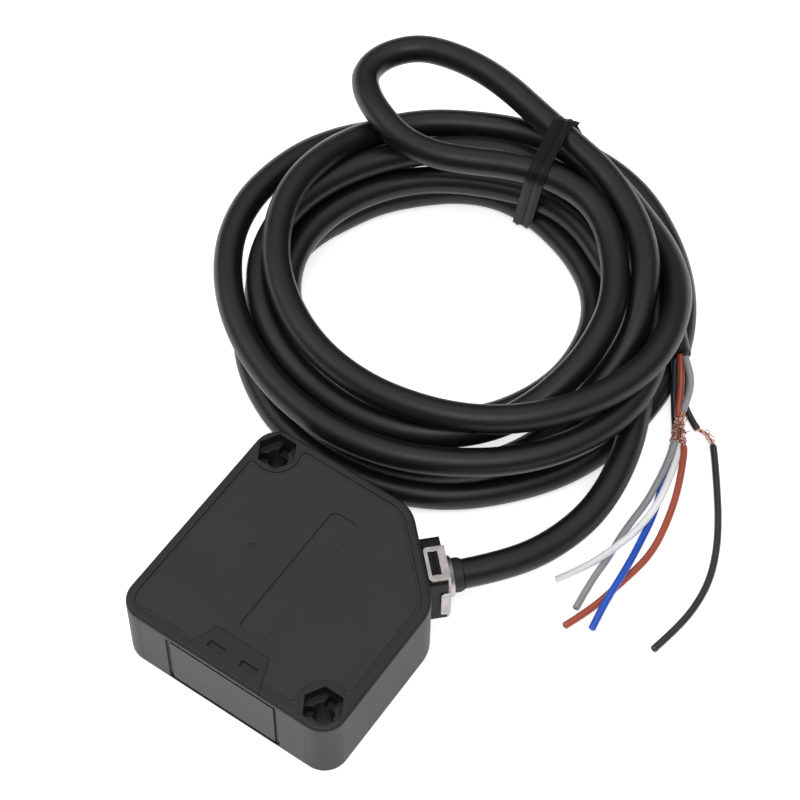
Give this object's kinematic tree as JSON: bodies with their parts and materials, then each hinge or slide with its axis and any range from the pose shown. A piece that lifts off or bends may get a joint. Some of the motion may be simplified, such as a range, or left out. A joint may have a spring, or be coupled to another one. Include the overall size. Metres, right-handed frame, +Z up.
{
  "type": "photoelectric sensor",
  "caption": "Slim square photoelectric sensor with relay output, nut-pocket mounting holes and a coiled, tied cable.",
  "frame": {"origin": "centre of the square housing at its bottom broad face, which rests on the surface", "axes": "+Z up through the thin direction, +X out of the lens face, adjuster panel facing -Y, cable leaving the cut corner between -X and +Y"},
  "size_m": [0.1564, 0.1304, 0.0245],
  "materials": {
    "housing_plastic": "fine-textured moulded PBT, matte charcoal",
    "cover_plastic": "fine-textured moulded PBT, matte charcoal",
    "front_plastic": "fine-textured moulded polycarbonate, matte charcoal",
    "window_plastic": "dark infrared-passing filter plastic, satin",
    "panel_plastic": "moulded, matte charcoal",
    "inner_black_plastic": "matte black moulding",
    "clear_lens": "polished clear acrylic",
    "led_resin": "clear epoxy",
    "tinned_metal": "tinned, satin",
    "circuit_board": "green solder mask on glass epoxy",
    "capacitor_sleeve": "dark shrink sleeve",
    "ceramic_tan": "fired ceramic",
    "relay_plastic": "moulded thermoplastic",
    "copper_wire": "drawn copper",
    "relay_iron": "nickel-plated soft iron",
    "contact_alloy": "spring bronze with silver rivet",
    "knob_plastic": "moulded, satin, light grey",
    "seal_rubber": "soft black rubber",
    "guide_green": "translucent green light guide",
    "guide_orange": "translucent orange light guide",
    "gland_plastic": "moulded, matte black",
    "bushing_rubber": "matte black rubber",
    "clip_steel": "pressed stainless spring steel, satin",
    "cable_sheath": "flexible black PVC sheath",
    "tie_vinyl": "flat black vinyl tie",
    "core_brown": "brown PVC insulation",
    "core_blue": "blue PVC insulation",
    "core_grey": "grey PVC insulation",
    "core_white": "white PVC insulation",
    "core_black": "black PVC insulation"
  },
  "bodies": {
    "housing": {"case": "housing_plastic", "side_cover": "cover_plastic", "front_cover": "front_plastic", "lens_window": "window_plastic", "control_panel": "panel_plastic", "optics_holder": "inner_black_plastic", "emitter_lens": "clear_lens", "receiver_lens": "clear_lens", "emitter_led": "led_resin", "photodiode": "inner_black_plastic", "receiver_shield": "tinned_metal", "optics_board": "circuit_board", "main_board": "circuit_board", "board_screws": "tinned_metal", "controller_chip": "inner_black_plastic", "driver_chips": "inner_black_plastic", "reservoir_capacitors": "capacitor_sleeve", "chip_resistors": "inner_black_plastic", "ceramic_capacitors": "ceramic_tan", "board_link_pins": "tinned_metal", "relay_base": "relay_plastic", "relay_cover": "relay_plastic", "relay_bobbin": "relay_plastic", "relay_winding": "copper_wire", "relay_core": "relay_iron", "relay_yoke": "relay_iron", "relay_break_contact": "contact_alloy", "relay_make_contact": "contact_alloy", "sensitivity_potentiometer": "relay_plastic", "mode_switch": "relay_plastic", "knob_seals": "seal_rubber", "stability_light_guide": "guide_green", "output_light_guide": "guide_orange", "indicator_leds": "led_resin", "panel_board": "circuit_board", "gland_block": "gland_plastic", "cable_bushing": "bushing_rubber", "cable_clip": "clip_steel", "cable_in_gland": "cable_sheath", "inner_cores": "core_grey", "cable_exit": "cable_sheath", "cable_coil": "cable_sheath", "cable_loop": "cable_sheath", "cable_tie": "tie_vinyl", "core_brown": "core_brown", "core_blue": "core_blue", "core_grey": "core_grey", "core_white": "core_white", "core_black": "core_black"},
    "armature": {"relay_armature": "relay_iron", "relay_moving_contact": "contact_alloy"},
    "sensitivity_adjuster": {"sensitivity_knob": "knob_plastic"},
    "mode_selector": {"mode_knob": "knob_plastic"}
  },
  "joints": [
    {"name": "sensitivity_adjustment", "type": "hinge", "parent": "housing", "child": "sensitivity_adjuster", "pos_m": [-0.0095, -0.0247, 0.0087], "axis": [0, 1, 0], "range_deg": [-135, 135]},
    {"name": "mode_selection", "type": "hinge", "parent": "housing", "child": "mode_selector", "pos_m": [-0.001, -0.0247, 0.0087], "axis": [0, 1, 0], "range_deg": [0, 90]},
    {"name": "relay_switching", "type": "hinge", "parent": "housing", "child": "armature", "pos_m": [0.00565, 0.0135, 0.0136], "axis": [0, 1, 0], "range_deg": [0, 8], "stiffness_Nm_per_rad": 0.005, "springref_deg": -5.73}
  ]
}
